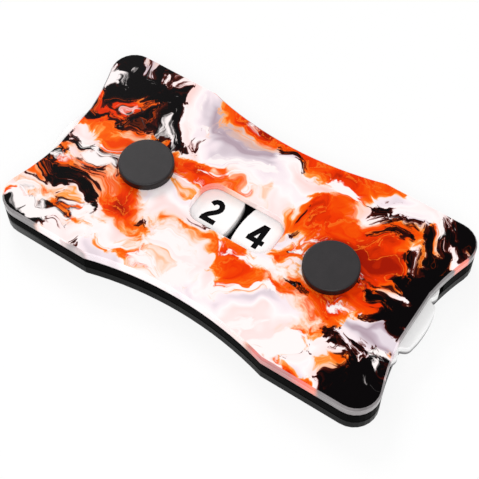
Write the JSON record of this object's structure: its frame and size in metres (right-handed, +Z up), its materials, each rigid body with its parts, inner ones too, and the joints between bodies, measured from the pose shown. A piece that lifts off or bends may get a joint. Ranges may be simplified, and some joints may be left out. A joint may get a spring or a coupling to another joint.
{
  "type": "life counter",
  "caption": "Flat hand-held counter of stacked sheets with a reading window and lobed number dials that turn between the sheets and are thumbed at the ends.",
  "frame": {"origin": "middle of the flat underside", "axes": "+X along the counter, towards the ones dial; +Y from the front edge to the back edge, up for the reader; +Z up, out of the printed face"},
  "size_m": [0.1092, 0.0584, 0.0126],
  "materials": {
    "base_sheet": "dark grey acrylic sheet",
    "middle_sheet": "black acrylic sheet",
    "printed_sheet": "clear acrylic sheet, printed on top",
    "dial_white": "white acrylic, numerals filled black",
    "steel": "plain steel",
    "cap_grey": "matt dark grey"
  },
  "bodies": {
    "case": {"base_plate": "base_sheet", "front_spacer": "middle_sheet", "back_spacer": "middle_sheet", "top_plate": "printed_sheet", "tens_axle_barrel": "steel", "ones_axle_barrel": "steel", "tens_axle_screw": "steel", "ones_axle_screw": "steel", "tens_cap": "cap_grey", "ones_cap": "cap_grey"},
    "tens": {"tens_dial": "dial_white"},
    "ones": {"ones_dial": "dial_white"}
  },
  "joints": [
    {"name": "tens_turn", "type": "hinge", "parent": "case", "child": "tens", "pos_m": [-0.0275, 0, 0.00525], "axis": [0, 0, 1], "continuous": true},
    {"name": "ones_turn", "type": "hinge", "parent": "case", "child": "ones", "pos_m": [0.0275, 0, 0.00525], "axis": [0, 0, 1], "continuous": true}
  ]
}
